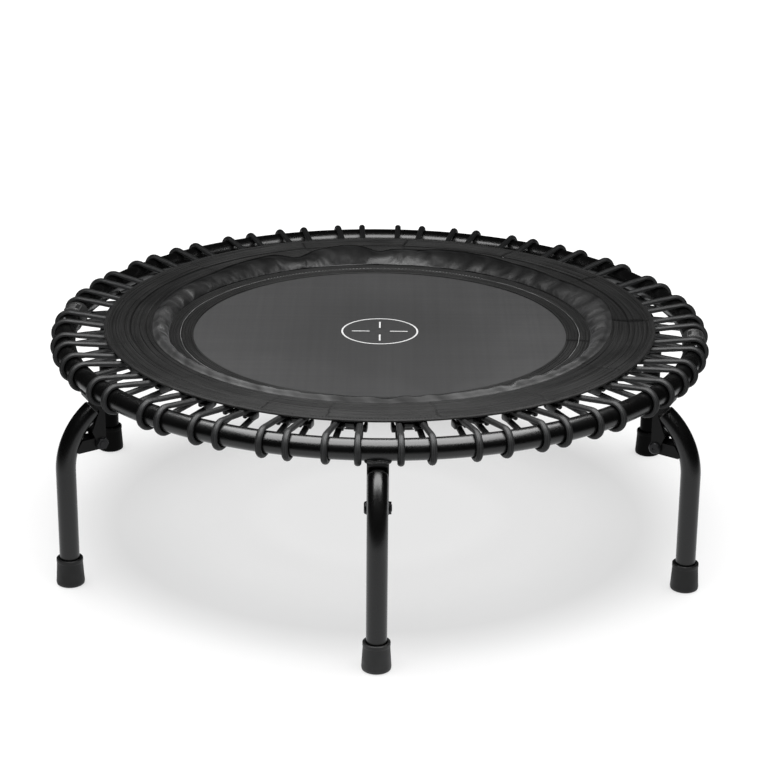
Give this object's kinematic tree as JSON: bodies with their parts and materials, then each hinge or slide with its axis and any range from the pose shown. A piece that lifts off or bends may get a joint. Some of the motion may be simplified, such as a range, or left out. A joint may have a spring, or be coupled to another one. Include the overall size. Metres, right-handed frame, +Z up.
{
  "type": "mini trampoline",
  "caption": "Round mini trampoline with a tubular hoop on folding arched legs, elastic cords and a recessed woven mat with a wide skirt.",
  "frame": {"origin": "on the floor under the centre of the hoop", "axes": "+Z up, -Y towards the front leg, +X to the right"},
  "size_m": [1.0332, 1.1176, 0.3404],
  "materials": {
    "powder_coat": "satin black powder coat on steel tube and plate",
    "weld": "rippled weld bead under the same black coat",
    "zinc": "bright zinc",
    "black_hardware": "black oxide",
    "bush_plastic": "natural nylon",
    "band_rubber": "matt rubber",
    "band_pad": "moulded, three raised bars",
    "cord_sheath": "braided charcoal sheath over rubber core",
    "foot_rubber": "smooth black rubber",
    "plug_plastic": "glossy domed end plug",
    "woven_surface": "plain woven polypropylene, faint weave bands",
    "webbing": "ribbed woven webbing, stitched",
    "satin": "shiny gathered satin",
    "binding": "folded edge tape",
    "connector_plastic": "moulded nylon"
  },
  "bodies": {
    "frame": {"hoop_front": "powder_coat", "hoop_back": "powder_coat", "joint_sleeves": "zinc", "joint_bands": "band_rubber", "joint_pads": "band_pad", "joint_screws": "zinc", "leg_brackets": "powder_coat", "bracket_welds": "weld", "pivot_bolts": "black_hardware", "pivot_washers": "black_hardware", "pivot_nuts": "black_hardware", "pivot_bushes": "bush_plastic", "elastic_cords": "cord_sheath"},
    "front_leg": {"leg_front": "powder_coat", "lug_front": "powder_coat", "foot_front": "foot_rubber", "plug_front": "plug_plastic"},
    "front_right_leg": {"leg_front_right": "powder_coat", "lug_front_right": "powder_coat", "foot_front_right": "foot_rubber", "plug_front_right": "plug_plastic"},
    "back_right_leg": {"leg_back_right": "powder_coat", "lug_back_right": "powder_coat", "foot_back_right": "foot_rubber", "plug_back_right": "plug_plastic"},
    "back_leg": {"leg_back": "powder_coat", "lug_back": "powder_coat", "foot_back": "foot_rubber", "plug_back": "plug_plastic"},
    "back_left_leg": {"leg_back_left": "powder_coat", "lug_back_left": "powder_coat", "foot_back_left": "foot_rubber", "plug_back_left": "plug_plastic"},
    "front_left_leg": {"leg_front_left": "powder_coat", "lug_front_left": "powder_coat", "foot_front_left": "foot_rubber", "plug_front_left": "plug_plastic"},
    "mat": {"jump_mat": "woven_surface", "mat_hem": "webbing", "skirt_ring": "webbing", "skirt_satin": "satin", "skirt_webbing": "webbing", "skirt_binding": "binding", "cord_connectors": "connector_plastic", "connector_straps": "webbing"}
  },
  "joints": [
    {"name": "front_leg_fold", "type": "hinge", "parent": "frame", "child": "front_leg", "pos_m": [0, -0.484, 0.224], "axis": [1, 0, 0], "range_deg": [0, 90]},
    {"name": "front_right_leg_fold", "type": "hinge", "parent": "frame", "child": "front_right_leg", "pos_m": [0.41916, -0.242, 0.224], "axis": [0.5, 0.866, 0], "range_deg": [0, 90]},
    {"name": "back_right_leg_fold", "type": "hinge", "parent": "frame", "child": "back_right_leg", "pos_m": [0.41916, 0.242, 0.224], "axis": [-0.5, 0.866, 0], "range_deg": [0, 90]},
    {"name": "back_leg_fold", "type": "hinge", "parent": "frame", "child": "back_leg", "pos_m": [0, 0.484, 0.224], "axis": [-1, 0, 0], "range_deg": [0, 90]},
    {"name": "back_left_leg_fold", "type": "hinge", "parent": "frame", "child": "back_left_leg", "pos_m": [-0.41916, 0.242, 0.224], "axis": [-0.5, -0.866, 0], "range_deg": [0, 90]},
    {"name": "front_left_leg_fold", "type": "hinge", "parent": "frame", "child": "front_left_leg", "pos_m": [-0.41916, -0.242, 0.224], "axis": [0.5, -0.866, 0], "range_deg": [0, 90]},
    {"name": "mat_bounce", "type": "slide", "parent": "frame", "child": "mat", "axis": [0, 0, 1], "range_m": [-0.06, 0], "stiffness_N_per_m": 12000, "springref_m": 0.003, "deforming": ["elastic_cords"]}
  ]
}
